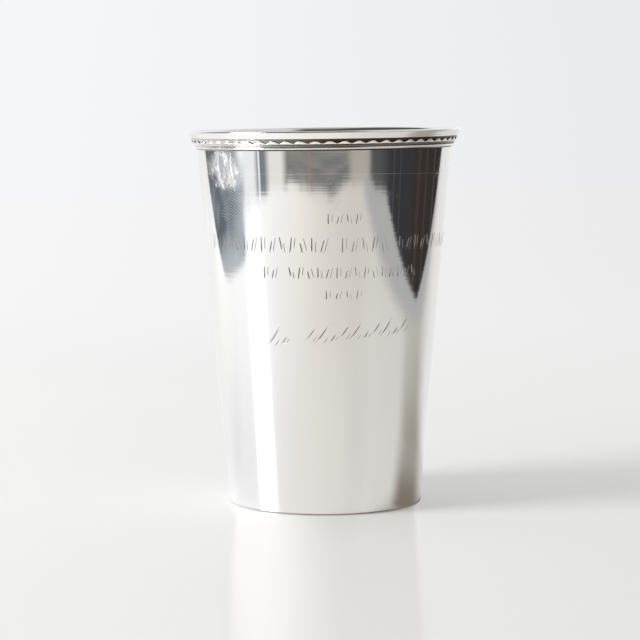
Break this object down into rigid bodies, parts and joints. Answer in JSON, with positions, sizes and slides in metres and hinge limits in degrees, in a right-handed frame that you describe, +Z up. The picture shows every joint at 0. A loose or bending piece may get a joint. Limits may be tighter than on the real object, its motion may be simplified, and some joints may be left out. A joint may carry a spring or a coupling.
{
  "type": "beaker",
  "caption": "Straight-sided silver drinking beaker that widens to a flared lip, with a beaded moulding soldered on under the lip and rows of engraved strokes on its wall.",
  "frame": {"origin": "middle of the underside, on the surface that the beaker stands on", "axes": "+Z up along the beaker's axis, towards the mouth; -Y out of the engraved front; +X to the reader's right"},
  "size_m": [0.073, 0.073, 0.1],
  "materials": {
    "silver": "old polished silver with fine scratches and faint horizontal turning lines",
    "rim_silver": "polished silver with dark tarnish left in its grooves"
  },
  "bodies": {
    "root": {"beaker_body": "silver", "rim_moulding": "rim_silver"}
  },
  "joints": []
}
